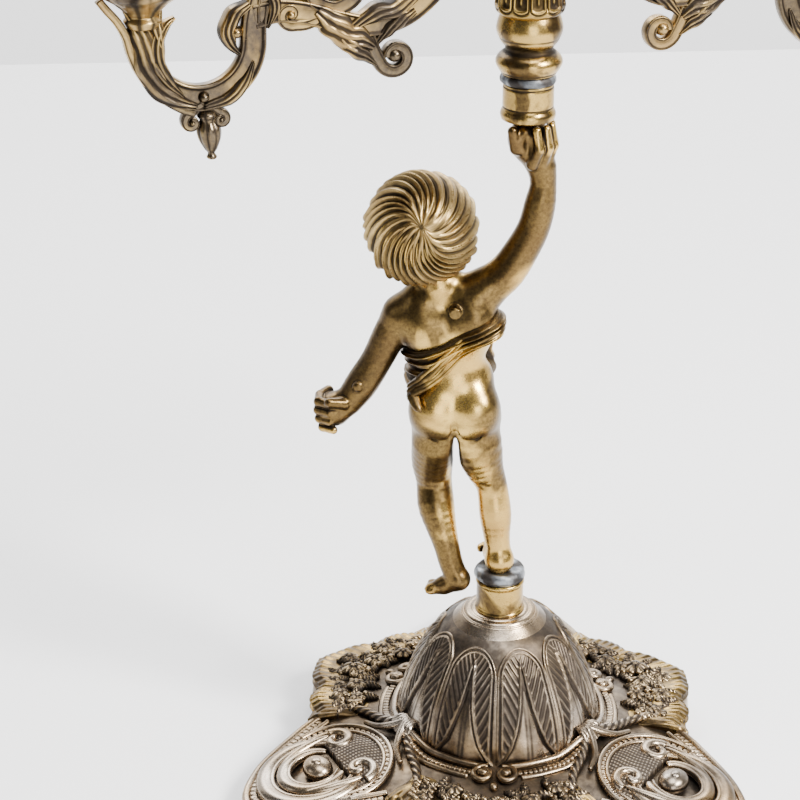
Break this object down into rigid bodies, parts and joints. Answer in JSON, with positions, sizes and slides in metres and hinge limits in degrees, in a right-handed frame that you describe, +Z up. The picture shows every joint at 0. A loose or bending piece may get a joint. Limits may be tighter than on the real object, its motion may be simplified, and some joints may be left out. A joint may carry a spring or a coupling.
{
  "type": "tabletop candelabra",
  "caption": "Brass candelabra with a child figure on a domed, scroll-edged base holding up a stem with scrolled side arms and candle cups.",
  "frame": {"origin": "on the table under the middle of the dome", "axes": "+Z up; the figure faces -Y and its back is towards +Y; +X is towards the figure's lowered arm"},
  "size_m": [0.2582, 0.1705, 0.3642],
  "materials": {
    "silvered_brass": "worn silvery brown plate over cast brass with dark recesses",
    "figure_brass": "rubbed golden brass with dark brown patches of old patina",
    "stem_brass": "polished brass, browned in the grooves",
    "arm_brass": "antique brass casting with dark recesses",
    "cup_brass": "antique brass, lightly rubbed on the rims",
    "oxidised_solder": "dull blue-grey solder, uneven and oxidised",
    "steel_fixings": "plain threaded steel, slightly tarnished"
  },
  "bodies": {
    "stand": {"base_casting": "silvered_brass", "base_washer": "steel_fixings", "base_nut": "steel_fixings", "foot_stud": "steel_fixings", "pedestal_sleeve": "stem_brass", "pedestal_ring": "oxidised_solder", "figure_body": "figure_brass", "figure_raised_arm": "figure_brass", "figure_lowered_arm": "figure_brass", "shoulder_pins": "steel_fixings", "core_plugs": "figure_brass", "stem_rod": "steel_fixings", "hand_sleeve": "stem_brass", "neck_ring": "oxidised_solder", "knop": "stem_brass", "baluster": "stem_brass", "swivel_washer": "steel_fixings", "hub_washer": "steel_fixings", "hub_nut": "steel_fixings"},
    "branch": {"hub": "stem_brass", "arm_left": "arm_brass", "arm_right": "arm_brass", "arm_grub_screws": "steel_fixings", "top_knop": "stem_brass", "cup_studs": "steel_fixings"},
    "light_left": {"drip_pan_left": "cup_brass", "candle_cup_left": "cup_brass"},
    "light_right": {"drip_pan_right": "cup_brass", "candle_cup_right": "cup_brass"},
    "light_centre": {"drip_pan_centre": "cup_brass", "candle_cup_centre": "cup_brass"}
  },
  "joints": [
    {"name": "branch_swivel", "type": "hinge", "parent": "stand", "child": "branch", "pos_m": [-0.006, 0, 0.2854], "axis": [0, 0, 1], "continuous": true},
    {"name": "cup_left_turn", "type": "hinge", "parent": "branch", "child": "light_left", "pos_m": [0.10209, 0.04477, 0.281], "axis": [0, 0, 1], "continuous": true},
    {"name": "cup_right_turn", "type": "hinge", "parent": "branch", "child": "light_right", "pos_m": [-0.11409, -0.04477, 0.281], "axis": [0, 0, 1], "continuous": true},
    {"name": "cup_centre_turn", "type": "hinge", "parent": "branch", "child": "light_centre", "pos_m": [-0.006, 0, 0.3304], "axis": [0, 0, 1], "continuous": true}
  ]
}
